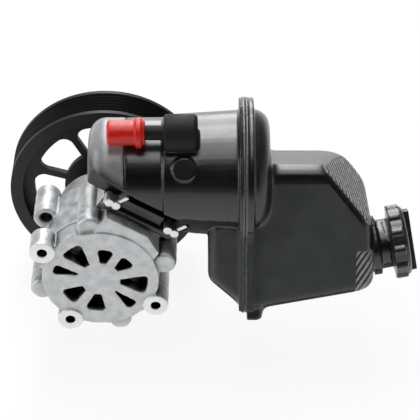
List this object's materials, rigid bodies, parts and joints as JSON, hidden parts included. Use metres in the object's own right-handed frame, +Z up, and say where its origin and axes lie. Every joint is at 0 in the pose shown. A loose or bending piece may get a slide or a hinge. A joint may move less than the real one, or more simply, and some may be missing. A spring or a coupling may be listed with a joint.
{
  "type": "power steering pump",
  "caption": "Vane-type power steering pump: cast aluminium body with ribbed belt pulley, star-ribbed rear cover and a clipped-on black plastic fluid tank with filler cap and return nipple",
  "frame": {"origin": "on the shaft axis in the middle of the belt plane, at the middle of the puller thread", "axes": "+Y along the shaft towards the pulley's open end, +Z up, +X towards the filler cap"},
  "size_m": [0.2882, 0.1481, 0.1857],
  "materials": {
    "cast_aluminium": "as cast, fine blasted",
    "zinc_steel": "bright zinc plated",
    "bare_steel": "ground",
    "brass_cage": "pressed",
    "bush_bronze": "turned",
    "black_rubber": "moulded",
    "pulley_black": "satin black paint",
    "tank_plastic": "moulded, semi-gloss",
    "cap_plastic": "moulded, satin",
    "pale_plastic": "moulded",
    "red_vinyl": "dipped vinyl"
  },
  "bodies": {
    "pump": {"pump_housing": "cast_aluminium", "rear_cover": "cast_aluminium", "cover_bolts": "zinc_steel", "cover_o_ring": "black_rubber", "cam_ring": "bare_steel", "front_plate": "bare_steel", "rear_plate": "bare_steel", "dowel_pins": "bare_steel", "plate_spring": "bare_steel", "bearing_outer_ring": "bare_steel", "bearing_circlip": "bare_steel", "shaft_seal": "black_rubber", "rear_bush": "bush_bronze", "outlet_fitting": "zinc_steel", "fitting_o_ring": "black_rubber", "valve_plug": "zinc_steel", "valve_spring": "bare_steel", "tank_pump_half": "tank_plastic", "tank_filler_half": "tank_plastic", "tank_seal": "black_rubber", "clip_left": "zinc_steel", "clip_right": "zinc_steel", "suction_strainer": "pale_plastic"},
    "drive": {"pulley": "pulley_black", "drive_shaft": "bare_steel", "rotor": "bare_steel", "rotor_circlip": "bare_steel", "bearing_inner_ring": "bare_steel"},
    "ball_cage": {"bearing_balls": "bare_steel", "bearing_cage": "brass_cage"},
    "spool": {"valve_spool": "bare_steel"},
    "gasket": {"cap_gasket": "black_rubber"},
    "cap": {"filler_cap": "cap_plastic", "dipstick": "pale_plastic"},
    "ship_cap": {"shipping_cap": "red_vinyl"},
    "blade_1": {"vane_1": "bare_steel"},
    "blade_2": {"vane_2": "bare_steel"},
    "blade_3": {"vane_3": "bare_steel"},
    "blade_4": {"vane_4": "bare_steel"},
    "blade_5": {"vane_5": "bare_steel"},
    "blade_6": {"vane_6": "bare_steel"},
    "blade_7": {"vane_7": "bare_steel"},
    "blade_8": {"vane_8": "bare_steel"},
    "blade_9": {"vane_9": "bare_steel"},
    "blade_10": {"vane_10": "bare_steel"}
  },
  "joints": [
    {"name": "pulley_spin", "type": "hinge", "parent": "pump", "child": "drive", "pos_m": [0, 0, 0], "axis": [0, 1, 0], "continuous": true},
    {"name": "ball_cage_spin", "type": "hinge", "parent": "pump", "child": "ball_cage", "pos_m": [0, -0.0298, 0], "axis": [0, 1, 0], "continuous": true},
    {"name": "valve_slide", "type": "slide", "parent": "pump", "child": "spool", "axis": [-0.8517, 0, 0.524], "range_m": [0, 0.006], "stiffness_N_per_m": 3000, "springref_m": -0.004, "deforming": ["valve_spring"]},
    {"name": "cap_lift", "type": "slide", "parent": "pump", "child": "gasket", "axis": [0.9848, 0.0706, 0.1586], "range_m": [0, 0.1]},
    {"name": "cap_turn", "type": "hinge", "parent": "gasket", "child": "cap", "pos_m": [0.1825, -0.08815, 0.0095], "axis": [0.9848, 0.0706, 0.1586], "range_deg": [0, 90]},
    {"name": "shipping_cap_pull", "type": "slide", "parent": "pump", "child": "ship_cap", "axis": [-1, 0, 0], "range_m": [0, 0.035]},
    {"name": "vane_1_slide", "type": "slide", "parent": "drive", "child": "blade_1", "axis": [0.972, 0, -0.2351], "range_m": [0, 0.00028]},
    {"name": "vane_2_slide", "type": "slide", "parent": "drive", "child": "blade_2", "axis": [0.9245, 0, 0.3811], "range_m": [0, 0.00224]},
    {"name": "vane_3_slide", "type": "slide", "parent": "drive", "child": "blade_3", "axis": [0.524, 0, 0.8517], "range_m": [0, 0.00345]},
    {"name": "vane_4_slide", "type": "slide", "parent": "drive", "child": "blade_4", "axis": [-0.0767, 0, 0.9971], "range_m": [0, 0.00224]},
    {"name": "vane_5_slide", "type": "slide", "parent": "drive", "child": "blade_5", "axis": [-0.6481, 0, 0.7615], "range_m": [0, 0.00028]},
    {"name": "vane_6_slide", "type": "slide", "parent": "drive", "child": "blade_6", "axis": [-0.972, 0, 0.2351], "range_m": [0, 0.00028]},
    {"name": "vane_7_slide", "type": "slide", "parent": "drive", "child": "blade_7", "axis": [-0.9245, 0, -0.3811], "range_m": [0, 0.00224]},
    {"name": "vane_8_slide", "type": "slide", "parent": "drive", "child": "blade_8", "axis": [-0.524, 0, -0.8517], "range_m": [0, 0.00345]},
    {"name": "vane_9_slide", "type": "slide", "parent": "drive", "child": "blade_9", "axis": [0.0767, 0, -0.9971], "range_m": [0, 0.00224]},
    {"name": "vane_10_slide", "type": "slide", "parent": "drive", "child": "blade_10", "axis": [0.6481, 0, -0.7615], "range_m": [0, 0.00028]}
  ],
  "couplings": [
    {"joint": "ball_cage_spin", "follows": "pulley_spin", "ratio": 0.3817}
  ]
}
